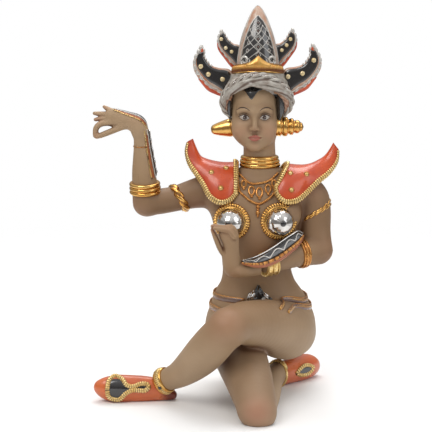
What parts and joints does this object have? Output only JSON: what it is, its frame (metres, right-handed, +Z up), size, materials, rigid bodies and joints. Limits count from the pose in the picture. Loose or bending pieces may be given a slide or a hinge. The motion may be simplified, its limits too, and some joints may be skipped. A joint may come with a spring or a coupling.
{
  "type": "figurine",
  "caption": "Seated dancer figurine with a pointed crown of flame wings, shoulder wings, crossed legs and one raised hand, cast in one piece.",
  "frame": {"origin": "centre of the footprint of the bounding box, on the surface the figurine stands on", "axes": "+Z up, -Y the side the figure faces, +X the figure's left"},
  "size_m": [0.2379, 0.1772, 0.3785],
  "materials": {
    "bisque": "matte bisque porcelain with glossy enamel and gold lustre trim"
  },
  "bodies": {
    "root": {"dancer_figurine": "bisque"}
  },
  "joints": []
}
